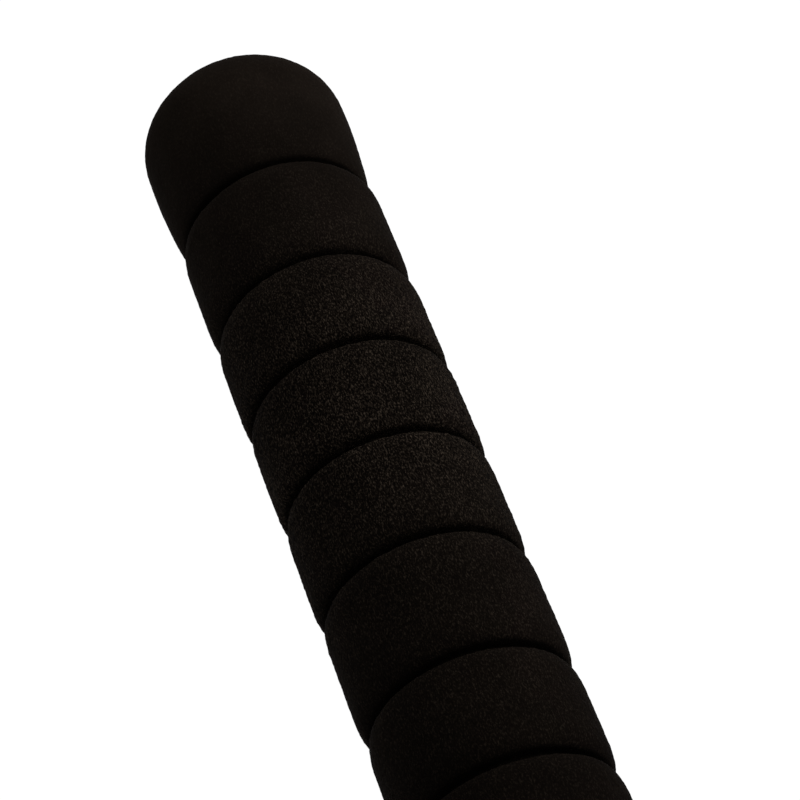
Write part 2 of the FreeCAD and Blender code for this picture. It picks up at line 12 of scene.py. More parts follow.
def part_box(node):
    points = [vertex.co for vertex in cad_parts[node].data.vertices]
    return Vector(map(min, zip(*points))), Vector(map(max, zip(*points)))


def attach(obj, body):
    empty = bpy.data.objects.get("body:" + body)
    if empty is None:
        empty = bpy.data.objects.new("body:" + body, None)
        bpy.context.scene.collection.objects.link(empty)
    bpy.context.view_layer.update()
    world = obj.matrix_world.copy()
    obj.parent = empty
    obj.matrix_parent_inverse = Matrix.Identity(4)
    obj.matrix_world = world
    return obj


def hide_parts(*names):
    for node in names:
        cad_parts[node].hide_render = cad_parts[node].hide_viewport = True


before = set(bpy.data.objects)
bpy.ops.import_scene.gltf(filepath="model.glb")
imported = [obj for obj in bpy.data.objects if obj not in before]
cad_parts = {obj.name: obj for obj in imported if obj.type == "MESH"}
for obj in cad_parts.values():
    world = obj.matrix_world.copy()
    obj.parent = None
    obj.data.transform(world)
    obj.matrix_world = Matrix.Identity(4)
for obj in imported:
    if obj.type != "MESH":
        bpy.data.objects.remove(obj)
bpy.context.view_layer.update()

MM = 0.001
LOG = logging.getLogger("jump_rope_handle")
# A noise node's values mostly lie in this span, so it is what gets spread over a wanted range.
NOISE_SPAN = {"From Min": 0.3, "From Max": 0.7}


# ---------------------------------------------------------------- helpers


def linear(hex_colour: str) -> tuple[float, float, float, float]:
    """Turn an sRGB hex colour into the linear RGBA that shaders take, by the sRGB standard's own curve.

    Args:
        hex_colour: six hex digits after a "#".

    Returns:
        Linear red, green and blue, and an alpha of 1.
    """
    channels = np.array([int(hex_colour[i : i + 2], 16) for i in (1, 3, 5)]) / 255
    bright = ((channels + 0.055) / 1.055) ** 2.4
    return (*np.where(channels <= 0.04045, channels / 12.92, bright).tolist(), 1.0)


def per_mm(size_mm: float) -> float:
    """Return the scale that gives a procedural pattern features of this size, on metre coordinates."""
    return 1 / (size_mm * MM)


def add_node(tree: bpy.types.NodeTree, kind: str, settings: dict, links: dict) -> bpy.types.Node:
    """Add one shader node.

    Args:
        tree: the material's node tree.
        kind: the node's type, without its "ShaderNode" start.
        settings: values by name, each set on the input of that name or else on the node itself.
        links: an output socket for each input, by the input's name.

    Returns:
        The new node.
    """
    node = tree.nodes.new(f"ShaderNode{kind}")
    for name, setting in settings.items():
        if name in node.inputs:
            node.inputs[name].default_value = setting
        else:
            setattr(node, name, setting)
    for name, socket in links.items():
        tree.links.new(socket, node.inputs[name])
    return node


def add_curve(
    tree: bpy.types.NodeTree, points: tuple[tuple[float, float], ...], source: bpy.types.NodeSocket
) -> bpy.types.NodeSocket:
    """Add a curve node.

    Args:
        tree: the material's node tree.
        points: the curve's points, from input 0 to input 1.
        source: the output socket that drives it.

    Returns:
        The curve's output socket.
    """
    node = add_node(tree, "FloatCurve", {}, {"Value": source})
    curve = node.mapping.curves[0]
    curve.points[0].location = points[0]
    curve.points[1].location = points[-1]
    for place, height in points[1:-1]:
        curve.points.new(place, height)
    node.mapping.update()
    return node.outputs["Value"]


def start_material(name: str) -> tuple[bpy.types.Material, bpy.types.NodeTree, bpy.types.Node]:
    """Start a material that has only its shader.

    Args:
        name: the material's name.

    Returns:
        The material, its node tree and its shader node.
    """
    material = bpy.data.materials.new(name)
    material.use_nodes = True
    return material, material.node_tree, material.node_tree.nodes["Principled BSDF"]


def uneven_colour(
    tree: bpy.types.NodeTree,
    place: bpy.types.NodeSocket,
    colour: str,
    cloud_mm: float,
    span: tuple[float, float],
) -> bpy.types.NodeSocket:
    """Add a colour that gets a little darker and lighter in broad clouds.

    Args:
        tree: the material's node tree.
        place: the coordinates' output socket.
        colour: the colour, as sRGB hex.
        cloud_mm: how broad the clouds are.
        span: what the colour is multiplied by in the darkest and in the lightest cloud.

    Returns:
        The colour's output socket.
    """
    cloud = add_node(tree, "TexNoise", {"Scale": per_mm(cloud_mm), "Detail": 2.0}, {"Vector": place})
    reach = {"To Min": span[0], "To Max": span[1]}
    shift = add_node(tree, "MapRange", {**NOISE_SPAN, **reach}, {"Value": cloud.outputs["Fac"]})
    base = add_node(tree, "RGB", {}, {})
    base.outputs["Color"].default_value = linear(colour)
    tint = add_node(
        tree, "VectorMath", {"operation": "SCALE"},
        {"Vector": base.outputs["Color"], "Scale": shift.outputs["Result"]},
    )
    return tint.outputs["Vector"]


def value_noise(points: np.ndarray, cell_mm: float, seed: int) -> np.ndarray:
    """Smooth random field in space, from -1 to 1.

    A random number sits on each corner of a cubic lattice that repeats after 64 cells. Between corners
    the field is blended along each axis by 3t^2 - 2t^3, where t is the share of the cell crossed.

    Args:
        points: an array of places (..., 3), in millimetres.
        cell_mm: the lattice spacing.
        seed: which random lattice to use.

    Returns:
        One value for each point.
    """
    size = 64
    lattice = np.random.default_rng(seed).uniform(-1, 1, (size, size, size))
    scaled = points / cell_mm
    low = np.floor(scaled).astype(int)
    t = scaled - low
    t = t * t * (3 - 2 * t)
    total = np.zeros(points.shape[:-1])
    for corner in np.ndindex(2, 2, 2):
        step = np.array(corner)
        weight = np.prod(np.where(step == 1, t, 1 - t), axis=-1)
        i, j, k = np.moveaxis((low + step) % size, -1, 0)
        total += weight * lattice[i, j, k]
    return total


def arc(
    centre: tuple[float, float], radii: tuple[float, float], start: float, end: float, count: int = 60
) -> np.ndarray:
    """Points of an elliptical arc, centre + (along * cos a, up * sin a), with a running from start to end.

    Args:
        centre: station and height of the centre, in millimetres.
        radii: the half-axes, along and up, in millimetres.
        start: first angle, in degrees.
        end: last angle, in degrees.
        count: how many points.

    Returns:
        An array (count, 2).
    """
    angle = np.radians(np.linspace(start, end, count))
    return np.array(centre) + np.array(radii) * np.stack([np.cos(angle), np.sin(angle)], axis=-1)


def even_steps(path: np.ndarray, step: float) -> np.ndarray:
    """Walk a polyline at even steps, with every point as far along it as index times the step.

    Args:
        path: the polyline's points (n, 2).
        step: the wanted spacing, in the same unit.

    Returns:
        The evenly spaced points.
    """
    along = np.concatenate([[0], np.cumsum(np.linalg.norm(np.diff(path, axis=0), axis=1))])
    places = np.linspace(0, along[-1], max(2, round(along[-1] / step)))
    return np.stack([np.interp(places, along, path[:, axis]) for axis in (0, 1)], axis=-1)


def turned_mesh(
    name: str, rings: np.ndarray, start_pole: np.ndarray, end_pole: np.ndarray
) -> bpy.types.Object:
    """Build a closed mesh from rings of points between two poles.

    Args:
        name: the object's name.
        rings: points (rows, columns, 3) in metres, each row once round the axis.
        start_pole: the point that closes the first row.
        end_pole: the point that closes the last row.

    Returns:
        The new object, at the origin, with smooth faces.
    """
    rows, columns, _ = rings.shape
    vertices = np.concatenate([rings.reshape(-1, 3), [start_pole, end_pole]])
    index = np.arange(rows * columns).reshape(rows, columns)
    after = np.roll(index, -1, axis=1)
    quads = np.stack([index[:-1], after[:-1], after[1:], index[1:]], axis=-1).reshape(-1, 4)
    first = np.full(columns, rows * columns)
    start_fan = np.stack([first, after[0], index[0]], axis=-1)
    end_fan = np.stack([first + 1, index[-1], after[-1]], axis=-1)
    corners = np.concatenate([quads.ravel(), start_fan.ravel(), end_fan.ravel()])
    sizes = np.concatenate([np.full(len(quads), 4), np.full(2 * columns, 3)])
    starts = np.concatenate([[0], np.cumsum(sizes)[:-1]])

    mesh = bpy.data.meshes.new(name)
    mesh.vertices.add(len(vertices))
    mesh.vertices.foreach_set("co", vertices.astype(np.float32).ravel())
    mesh.loops.add(len(corners))
    mesh.loops.foreach_set("vertex_index", corners.astype(np.int32))
    mesh.polygons.add(len(sizes))
    mesh.polygons.foreach_set("loop_start", starts.astype(np.int32))
    mesh.polygons.foreach_set("loop_total", sizes.astype(np.int32))
    mesh.polygons.foreach_set("use_smooth", np.ones(len(sizes), dtype=bool))
    mesh.update(calc_edges=True)
    mesh.validate()
    piece = bpy.data.objects.new(name, mesh)
    bpy.context.scene.collection.objects.link(piece)
    return piece


def dress(node: str, material: bpy.types.Material) -> None:
    """Give a carried-over CAD node its material in every slot.

    Args:
        node: the CAD node's name.
        material: the finish that it gets.
    """
    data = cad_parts[node].data
    if not data.materials:
        data.materials.append(material)
    for index in range(len(data.materials)):
        data.materials[index] = material
    LOG.info("%s: %s", node, material.name)


# ---------------------------------------------------------------- finishes


class Tooling(Enum):
    """How the surface of a metal piece was made, as the (x, y, z) stretch of its marks."""

    TURNED = (1.0, 0.02, 0.02)
    GROUND = (1.0, 0.15, 0.15)
    PRESSED = (1.0, 1.0, 1.0)


@dataclass(frozen=True)
class ClosedCellFoam:
    """Nitrile and PVC closed-cell foam, ground to shape and unpainted.

    Grinding opens the cells at the surface, so it is dead matt, with thousands of tiny pits whose thin rubber
    rims catch the light. The shade in the pits and the light on the rims are painted into its colour as a
    fine speckle.
    """

    name: str = "closed_cell_nitrile_foam"
    body: str = "#120e0b"
    # The pits' colour is painted shade in the open cells, and the rims' colour is a painted highlight on
    # their edges.
    pit_shade: str = "#030202"
    rim: str = "#51473d"
    cell_mm: float = 0.23
    # Grinding wheels run round the grip while it is fed lengthwise, which draws the open cells out along it.
    draw: tuple[float, float, float] = (0.55, 1.15, 1.15)
    blotch_mm: float = 9.0
    blotch_span: tuple[float, float] = (1.5, 2.15)
    # Where on the grain's scale from 0 to 1 the pits' painted shade ends, the body colour lies and the rims'
    # painted highlight begins.
    pit_shade_at: float = 0.38
    body_at: float = 0.53
    rim_highlight_at: float = 0.77
    relief_mm: float = 0.06
    roughness: float = 0.95
    # Its open cells swallow nearly all of its gloss.
    specular: float = 0.01
    # How strongly the open cells show, and how pale the foam is, at shares of the grip's length: the butt is
    # rubbed smooth by the palm, and the ends are ground finer than the middle. The foam's paleness at the
    # butt is a painted sheen, and its colour gets darker towards the front edge.
    grain_along: tuple[tuple[float, float], ...] = (
        (0.0, 0.08), (0.16, 0.13), (0.26, 0.26), (0.34, 0.62),
        (0.50, 0.88), (0.60, 0.66), (0.70, 0.42), (1.0, 0.22),
    )
    # Paleness along the grip: a painted sheen towards the butt, darker towards the front edge.
    sheen_tone_along: tuple[tuple[float, float], ...] = (
        (0.0, 0.80), (0.06, 0.77), (0.16, 0.56), (0.28, 0.54), (0.42, 0.53), (0.62, 0.51), (1.0, 0.38)
    )

    def material(self, start: float, end: float) -> bpy.types.Material:
        """Build the foam: painted shade in its pits and painted highlights on their rims, on a warm black,
        with broad faint blotches and a painted sheen towards the butt.

        Args:
            start: the butt's place along the handle, in metres.
            end: the front edge's place along the handle, in metres.

        Returns:
            The new material.
        """
        material, tree, shader = start_material(self.name)
        place = add_node(tree, "TexCoord", {}, {}).outputs["Object"]
        along = add_node(tree, "SeparateXYZ", {}, {"Vector": place})
        share = add_node(
            tree, "MapRange", {"From Min": start, "From Max": end}, {"Value": along.outputs["X"]}
        )
        level = add_curve(tree, self.grain_along, share.outputs["Result"])
        # How pale the foam is along its length: a painted sheen towards the butt.
        tone = add_curve(tree, self.sheen_tone_along, share.outputs["Result"])
        drawn = add_node(tree, "Mapping", {"Scale": self.draw}, {"Vector": place}).outputs["Vector"]
        grain = add_node(
            tree, "TexNoise", {"Scale": per_mm(self.cell_mm), "Detail": 3.0, "Roughness": 0.65},
            {"Vector": drawn},
        )
        cells = add_node(tree, "TexVoronoi", {"Scale": per_mm(1.5 * self.cell_mm)}, {"Vector": drawn})
        shades = self.shades(tree, grain.outputs["Fac"], level)
        # The painted sheen along the grip, paler at the butt and darker towards the front edge, times the
        # blotches.
        amount = self.blotches_and_sheen(tree, place, tone)
        tint = add_node(tree, "VectorMath", {"operation": "SCALE"}, {"Vector": shades, "Scale": amount})
        tree.links.new(tint.outputs["Vector"], shader.inputs["Base Color"])
        depth = {"Distance": self.relief_mm * MM}
        pits = add_node(tree, "Bump", depth, {"Height": cells.outputs["Distance"], "Strength": level})
        fuzz = add_node(
            tree, "Bump", depth,
            {"Height": grain.outputs["Fac"], "Strength": level, "Normal": pits.outputs["Normal"]},
        )
        tree.links.new(fuzz.outputs["Normal"], shader.inputs["Normal"])
        shader.inputs["Roughness"].default_value = self.roughness
        shader.inputs["Specular IOR Level"].default_value = self.specular
        return material

    def shades(
        self, tree: bpy.types.NodeTree, grain: bpy.types.NodeSocket, level: bpy.types.NodeSocket
    ) -> bpy.types.NodeSocket:
        """Colour the grain from the painted shade in the pits, through the body colour, to the painted
        highlight on the rims.

        The grain is first pulled towards the body colour's place where the foam is smoother: pulled =
        (grain - place) * level + place.

        Args:
            tree: the material's node tree.
            grain: the grain's output socket.
            level: how strongly the open cells show.

        Returns:
            The colour's output socket.
        """
        spread = add_node(tree, "Math", {"operation": "SUBTRACT"}, {})
        tree.links.new(grain, spread.inputs[0])
        spread.inputs[1].default_value = self.body_at
        pulled = add_node(tree, "Math", {"operation": "MULTIPLY_ADD"}, {})
        tree.links.new(spread.outputs["Value"], pulled.inputs[0])
        tree.links.new(level, pulled.inputs[1])
        pulled.inputs[2].default_value = self.body_at
        node = add_node(tree, "ValToRGB", {}, {"Fac": pulled.outputs["Value"]})
        ramp = node.color_ramp
        ramp.elements[0].position = self.pit_shade_at
        ramp.elements[0].color = linear(self.pit_shade)
        ramp.elements[1].position = self.rim_highlight_at
        ramp.elements[1].color = linear(self.rim)
        ramp.elements.new(self.body_at).color = linear(self.body)
        return node.outputs["Color"]

    def blotches_and_sheen(
        self, tree: bpy.types.NodeTree, place: bpy.types.NodeSocket, tone: bpy.types.NodeSocket
    ) -> bpy.types.NodeSocket:
        """Multiply the broad blotches by how pale the foam is along its length, which is a painted sheen
        towards the butt and darker towards the front edge.

        Args:
            tree: the material's node tree.
            place: the coordinates' output socket.
            tone: how pale the foam is along its length, a painted sheen towards the butt.

        Returns:
            The output socket of the amount to multiply the colour by.
        """
        blotch = add_node(
            tree, "TexNoise", {"Scale": per_mm(self.blotch_mm), "Detail": 2.0}, {"Vector": place}
        )
        reach = {"To Min": self.blotch_span[0], "To Max": self.blotch_span[1]}
        patch = add_node(tree, "MapRange", {**NOISE_SPAN, **reach}, {"Value": blotch.outputs["Fac"]})
        amount = add_node(tree, "Math", {"operation": "MULTIPLY"}, {})
        tree.links.new(patch.outputs["Result"], amount.inputs[0])
        tree.links.new(tone, amount.inputs[1])
        return amount.outputs["Value"]


@dataclass(frozen=True)
class MouldedPolymer:
    """An injection moulded or extruded polymer, or a rubber, with the texture of its mould."""

    name: str
    colour: str
    grain_mm: float
    grain_depth_mm: float
    roughness: float
    ior: float = 1.5
    draw: tuple[float, float, float] = (1.0, 1.0, 1.0)
    # Flow in the mould leaves it a little darker and lighter, in clouds this broad.
    cloud_mm: float = 6.0
    cloud_span: tuple[float, float] = (0.88, 1.12)
    gloss_swing: float = 0.06
    bump_strength: float = 0.7

    def material(self) -> bpy.types.Material:
        """Build the polymer: one body colour that shifts a little, under a fine mould texture.

        Returns:
            The new material.
        """
        material, tree, shader = start_material(self.name)
        place = add_node(tree, "TexCoord", {}, {}).outputs["Object"]
        drawn = add_node(tree, "Mapping", {"Scale": self.draw}, {"Vector": place})
        grain = add_node(
            tree, "TexNoise", {"Scale": per_mm(self.grain_mm), "Detail": 4.0},
            {"Vector": drawn.outputs["Vector"]},
        )
        tint = uneven_colour(tree, place, self.colour, self.cloud_mm, self.cloud_span)
        tree.links.new(tint, shader.inputs["Base Color"])
        swing = {"To Min": self.roughness - self.gloss_swing, "To Max": self.roughness + self.gloss_swing}
        gloss = add_node(tree, "MapRange", {**NOISE_SPAN, **swing}, {"Value": grain.outputs["Fac"]})
        tree.links.new(gloss.outputs["Result"], shader.inputs["Roughness"])
        bump = add_node(
            tree, "Bump", {"Strength": self.bump_strength, "Distance": self.grain_depth_mm * MM},
            {"Height": grain.outputs["Fac"]},
        )
        tree.links.new(bump.outputs["Normal"], shader.inputs["Normal"])
        shader.inputs["IOR"].default_value = self.ior
        return material


@dataclass(frozen=True)
class WorkedMetal:
    """A metal with the marks that its tool left: lathe lines, grinding, or a press's even skin."""

    name: str
    colour: str
    roughness: float
    tooling: Tooling
    mark_mm: float = 0.12
    mark_depth_mm: float = 0.006
    cloud_mm: float = 3.0
    cloud_span: tuple[float, float] = (0.9, 1.06)
    # Its marks make it this much glossier and duller than its roughness says.
    gloss_span: tuple[float, float] = (0.8, 1.25)
    bump_strength: float = 0.5

    def material(self) -> bpy.types.Material:
        """Build the metal: tool marks in its bump and roughness, and a faint uneven tone.

        Returns:
            The new material.
        """
        material, tree, shader = start_material(self.name)
        place = add_node(tree, "TexCoord", {}, {}).outputs["Object"]
        drawn = add_node(tree, "Mapping", {"Scale": self.tooling.value}, {"Vector": place})
        marks = add_node(
            tree, "TexNoise", {"Scale": per_mm(self.mark_mm), "Detail": 4.0, "Roughness": 0.7},
            {"Vector": drawn.outputs["Vector"]},
        )
        tint = uneven_colour(tree, place, self.colour, self.cloud_mm, self.cloud_span)
        tree.links.new(tint, shader.inputs["Base Color"])
        least, most = self.gloss_span
        swing = {"To Min": self.roughness * least, "To Max": self.roughness * most}
        gloss = add_node(tree, "MapRange", {**NOISE_SPAN, **swing}, {"Value": marks.outputs["Fac"]})
        tree.links.new(gloss.outputs["Result"], shader.inputs["Roughness"])
        bump = add_node(
            tree, "Bump", {"Strength": self.bump_strength, "Distance": self.mark_depth_mm * MM},
            {"Height": marks.outputs["Fac"]},
        )
        tree.links.new(bump.outputs["Normal"], shader.inputs["Normal"])
        shader.inputs["Metallic"].default_value = 1.0
        return material


@dataclass(frozen=True)
class LitAcrylic:
    """Opal acrylic sheet lit from below, even and matt."""

    name: str = "opal_acrylic_light_table"
    body: str = "#3c3c3c"
    glow: str = "#ffffff"
    glow_strength: float = 1.0
    roughness: float = 0.8

    def material(self) -> bpy.types.Material:
        """Build the lit acrylic.

        Returns:
            The new material.
        """
        material, _, shader = start_material(self.name)
        shader.inputs["Base Color"].default_value = linear(self.body)
        shader.inputs["Roughness"].default_value = self.roughness
        shader.inputs["Specular IOR Level"].default_value = 0.0
        shader.inputs["Emission Color"].default_value = linear(self.glow)
        shader.inputs["Emission Strength"].default_value = self.glow_strength
        return material


# ---------------------------------------------------------------- grip


@dataclass
class Grip:
    """The foam sleeve, with the plastic tube and plug inside it. Lengths are millimetres."""

    dome_rib: float = 28.2
    rib_pitch: float = 17.6
    # How far each groove wanders from even spacing, and how far each rib's radius is from the frame's,
    # because soft foam gives way unevenly as it is ground.
    drift: tuple[float, ...] = (-0.4, 0.8, 0.05, -0.8, -0.9, 0.45, -0.25)
    swell: tuple[float, ...] = (0.25, -0.30, -0.23, -0.31, -0.40, -0.45, -0.53, -0.55)
    groove_depth: float = 2.6
    groove_width: float = 1.1
    # How far back from each groove its two ribs begin to round over, and how far they drop by its mouth.
    rounding: tuple[float, ...] = (3.4, 4.2, 2.8, 3.0, 3.2, 3.8, 3.8)
    drop: tuple[float, ...] = (1.2, 1.3, 0.75, 0.85, 0.9, 1.1, 1.1)
    dome_fall: float = 15.3
    dome_drop: float = 1.65
    crown_radius: float = 23.0
    dome_shoulder: float = 9.1
    front_edge: float = 2.4
    grid_step: float = 0.30
    bore_play: float = 0.05
    # The surface's relief: how far it reaches, and how large its lumps, grains and pits are.
    lump_depth: float = 0.10
    pore_depth: float = 0.09
    lump_cells: tuple[float, float] = (11.0, 5.0)
    grain_cells: tuple[float, float] = (0.55, 0.36)
    pit_cell: float = 0.9
    # Only the part of the pits' field above this floor becomes a pit, this many times the grain's depth.
    pit_floor: float = 0.45
    pit_share: float = 1.5
    # How much of the relief is left where the foam is rubbed quite smooth.
    worn_share: float = 0.3
    # The relief fades out over this radius round the tip, where the normals meet.
    tip_fade: float = 1.0
    foam: ClosedCellFoam = ClosedCellFoam()
    # Extruded polypropylene, unpigmented: milky, half gloss, with faint draw lines along its length.
    tube: MouldedPolymer = MouldedPolymer(
        "extruded_polypropylene", "#cfccc3", 0.25, 0.01, 0.42, 1.49, (0.05, 1.0, 1.0)
    )
    # Low-density polyethylene: waxy and soft-looking.
    plug: MouldedPolymer = MouldedPolymer("moulded_polyethylene", "#191919", 0.5, 0.01, 0.5, 1.51)

    def __post_init__(self) -> None:
        """Read the sizes that the CAD frame sets."""
        low, high = (np.array(corner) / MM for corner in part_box("foam_grip"))
        tube_low, tube_high = (np.array(corner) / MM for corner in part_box("core_tube"))
        plug_low, _ = (np.array(corner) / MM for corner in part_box("butt_plug"))
        self.tip = low[0]
        self.length = high[0] - low[0]
        self.axis_height = (high[2] + low[2]) / 2
        self.rib_radii = (high[2] - low[2]) / 2 + np.array(self.swell)
        self.bore_radius = (tube_high[2] - tube_low[2]) / 2 + self.bore_play
        self.bore_start = plug_low[0] - low[0] - self.bore_play

    def dome(self) -> np.ndarray:
        """Draw the butt's outline: a wide crown arc that runs into a tighter shoulder arc.

        Returns:
            Stations and radii (n, 2), from the tip on.
        """
        crown, shoulder = self.crown_radius, self.dome_shoulder
        rise = self.rib_radii[0] - shoulder
        station = crown - np.sqrt((crown - shoulder) ** 2 - rise**2)
        lean = np.degrees(np.arcsin(rise / (crown - shoulder)))
        top = arc((crown, 0), (crown, crown), 180, 180 - lean)
        side = arc((station, rise), (shoulder, shoulder), 180 - lean, 90)
        return np.concatenate([top, side[1:]])

    def grooves(self) -> list[np.ndarray]:
        """Draw each groove: one rib rounds over, a slot with upright walls, and the next rib rises.

        Returns:
            Stations and radii (n, 2) of each stretch, in order.
        """
        middles = self.dome_rib + self.rib_pitch * np.arange(len(self.drift)) + np.array(self.drift)
        falls = zip((self.dome_fall, *self.rounding[1:]), (self.dome_drop, *self.drop[1:]))
        rises = zip(self.rounding, self.drop)
        outlines = []
        for middle, fall, rise, near, after in zip(middles, falls, rises, self.rib_radii, self.rib_radii[1:]):
            rear, front = middle - self.groove_width / 2, middle + self.groove_width / 2
            floor = min(near, after) - self.groove_depth
            down = arc((rear - fall[0], near - fall[1]), fall, 90, 0)
            slot = np.array([(rear, floor), (front, floor)])
            up = arc((front + rise[0], after - rise[1]), rise, 180, 90)
            outlines += [down, slot, up]
        return outlines

    def outline(self) -> tuple[np.ndarray, np.ndarray]:
        """Draw the sleeve's whole outline, with its points at even steps.

        Returns:
            The skin, from the tip to the front edge, and the path from there back inside the bore.
        """
        last = self.rib_radii[-1]
        edge = arc((self.length - self.front_edge, last - self.front_edge), (self.front_edge,) * 2, 90, 0)
        skin = np.concatenate([self.dome(), *self.grooves(), edge])
        inside = np.array(
            [
                skin[-1],
                (self.length, self.bore_radius),
                (self.bore_start, self.bore_radius),
                (self.bore_start, 0.0),
            ]
        )
        return even_steps(skin, self.grid_step), even_steps(inside, 3 * self.grid_step)

    def relief(self, points: np.ndarray, stations: np.ndarray) -> np.ndarray:
        """Work out how far each skin point stands out along its normal.

        The sum of broad lumps left by grinding, a fine grain of opened cells, and pits where a coarser
        field is highest. The grain and the pits follow the foam's own level along the grip.

        Args:
            points: the skin's points in millimetres.
            stations: each point's distance from the tip.

        Returns:
            The height of each point, in millimetres.
        """
        broad, narrow = self.lump_cells
        coarse, fine = self.grain_cells
        lumps = value_noise(points, broad, 1) + 0.5 * value_noise(points, narrow, 2)
        grain = value_noise(points, coarse, 3) + 0.8 * value_noise(points, fine, 4)
        pits = np.clip(value_noise(points, self.pit_cell, 5) - self.pit_floor, 0, None)
        shares, levels = zip(*self.foam.grain_along)
        level = np.interp(stations / self.length, shares, levels)
        worn = self.worn_share + (1 - self.worn_share) * level
        return self.lump_depth * lumps + self.pore_depth * worn * (grain - self.pit_share * pits)

    def make_foam(self) -> bpy.types.Object:
        """Build the foam sleeve: its outline turned about the axis, moved along its normals by the relief.

        A point at station s and radius r lies at (s, r sin a, r cos a) for the angle a. The relief fades
        out at the tip, where the normals meet, and at the front edge, which touches the cap.

        Returns:
            The new piece.
        """
        skin, inside = self.outline()
        path = np.concatenate([skin[1:], inside[1:-1]])
        columns = round(2 * np.pi * self.rib_radii[0] / self.grid_step)
        angle = np.linspace(0, 2 * np.pi, columns, endpoint=False)
        around = np.stack([np.zeros(columns), np.sin(angle), np.cos(angle)], axis=-1)
        along = np.array([1.0, 0.0, 0.0])
        slope = np.gradient(path, axis=0)
        slope /= np.linalg.norm(slope, axis=1, keepdims=True)
        normal = slope[:, 0, None, None] * around - slope[:, 1, None, None] * along
        points = path[:, 0, None, None] * along + path[:, 1, None, None] * around
        stations = np.broadcast_to(path[:, 0, None], points.shape[:2])
        fade = np.zeros(len(path))
        outer = len(skin) - 1
        fade[:outer] = np.clip((self.length - path[:outer, 0]) / self.front_edge, 0, 1)
        fade[:outer] *= np.clip(path[:outer, 1] / self.tip_fade, 0, 1)
        points = points + (fade[:, None] * self.relief(points, stations))[..., None] * normal
        shift = np.array([self.tip, 0.0, self.axis_height])
        poles = (np.array([0.0, 0.0, 0.0]), np.array([self.bore_start, 0.0, 0.0]))
        piece = turned_mesh("foam_grip_skin", (points + shift) * MM, *((pole + shift) * MM for pole in poles))
        ends = self.tip * MM, (self.tip + self.length) * MM
        piece.data.materials.append(self.foam.material(*ends))
        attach(piece, "handle")
        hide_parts("foam_grip")
        LOG.info("foam grip: %d faces", len(piece.data.polygons))
        return piece

    def build(self) -> None:
        """Make the foam, and dress the tube and the plug."""
        self.make_foam()
        dress("core_tube", self.tube.material())
        dress("butt_plug", self.plug.material())


# ---------------------------------------------------------------- nose, bearing and swivel


@dataclass
class Nose:
    """The tapered cap and the seal in its mouth."""

    # ABS from a spark-eroded mould: an even fine matt grain that breaks up its gloss.
    cap: MouldedPolymer = MouldedPolymer("spark_textured_abs", "#171717", 0.22, 0.03, 0.45, 1.53)
    # Nitrile rubber: soft black with a dull bloom.
    seal: MouldedPolymer = MouldedPolymer("nitrile_rubber", "#121212", 0.3, 0.01, 0.75, 1.52)

    def build(self) -> None:
        """Dress the cap and the seal."""
        dress("nose_cap", self.cap.material())
        dress("dust_seal", self.seal.material())


@dataclass
class Bearing:
    """The ball bearing: two rings, a cage, two shields and the balls."""

    # Through-hardened bearing steel, ground: bright, with fine lines round the ring.
    ring: WorkedMetal = WorkedMetal("ground_bearing_steel", "#c3c3c6", 0.22, Tooling.GROUND)
    # The same steel lapped to a mirror.
    ball: WorkedMetal = WorkedMetal("lapped_bearing_steel", "#d8d8da", 0.06, Tooling.PRESSED, 0.5, 0.001)
    # Cold-rolled strip, pressed: satin.
    pressed: WorkedMetal = WorkedMetal("pressed_steel_strip", "#b1b0ae", 0.34, Tooling.PRESSED)

    def build(self) -> None:
        """Dress every piece of the bearing."""
        ring = self.ring.material()
        pressed = self.pressed.material()
        ball = self.ball.material()
        for node in ("bearing_outer_ring", "bearing_inner_ring"):
            dress(node, ring)
        for node in ("bearing_cage", "bearing_rear_shield", "bearing_front_shield"):
            dress(node, pressed)
        for node in sorted(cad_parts):
            if node.startswith("bearing_ball_"):
                dress(node, ball)


@dataclass
class Swivel:
    """The barrel that holds the rope, with its screws, washer and circlip."""

    # Aluminium, turned and satin anodised: pale grey with faint lathe lines round it.
    barrel: WorkedMetal = WorkedMetal("turned_anodised_aluminium", "#b9babd", 0.30, Tooling.TURNED, 0.10)
    # Alloy steel, black oxide: dark brown-black with a dull gloss.
    screws: WorkedMetal = WorkedMetal("black_oxide_steel", "#3a3634", 0.38, Tooling.TURNED)
    # Zinc-plated mild steel.
    washer: WorkedMetal = WorkedMetal("zinc_plated_steel", "#bcbfc4", 0.28, Tooling.PRESSED)
    # Phosphated spring steel: near-black and dry.
    circlip: WorkedMetal = WorkedMetal("phosphated_spring_steel", "#45423f", 0.5, Tooling.PRESSED)

    def build(self) -> None:
        """Dress the pieces that turn with the rope."""
        dress("swivel_barrel", self.barrel.material())
        dress("rope_clamp_screws", self.screws.material())
        dress("thrust_washer", self.washer.material())
        dress("circlip", self.circlip.material())


# ---------------------------------------------------------------- studio


@dataclass(frozen=True)
class Softbox:
    """A soft light that hangs level and faces the handle. Lengths are metres and power is watts."""

    name: str
    # The way to it from the handle's axis, in the camera's own right, up and backward directions.
    toward: tuple[float, float, float]
    distance: float
    size: tuple[float, float]
    power: float

    def hang(self, centre: Vector, axes: tuple[Vector, Vector, Vector]) -> None:
        """Hang the light.

        Args:
            centre: the point on the handle's axis that it faces.
            axes: the camera's right, up and backward directions.
        """
        way = sum((axis * share for axis, share in zip(axes, self.toward)), Vector()) * self.distance
        data = bpy.data.lights.new(self.name, "AREA")
        data.shape = "RECTANGLE"
        data.size, data.size_y = self.size
        data.energy = self.power
        lamp = bpy.data.objects.new(self.name, data)
        lamp.location = centre + way
        lamp.rotation_euler = way.to_track_quat("Z", "Y").to_euler()
        bpy.context.scene.collection.objects.link(lamp)


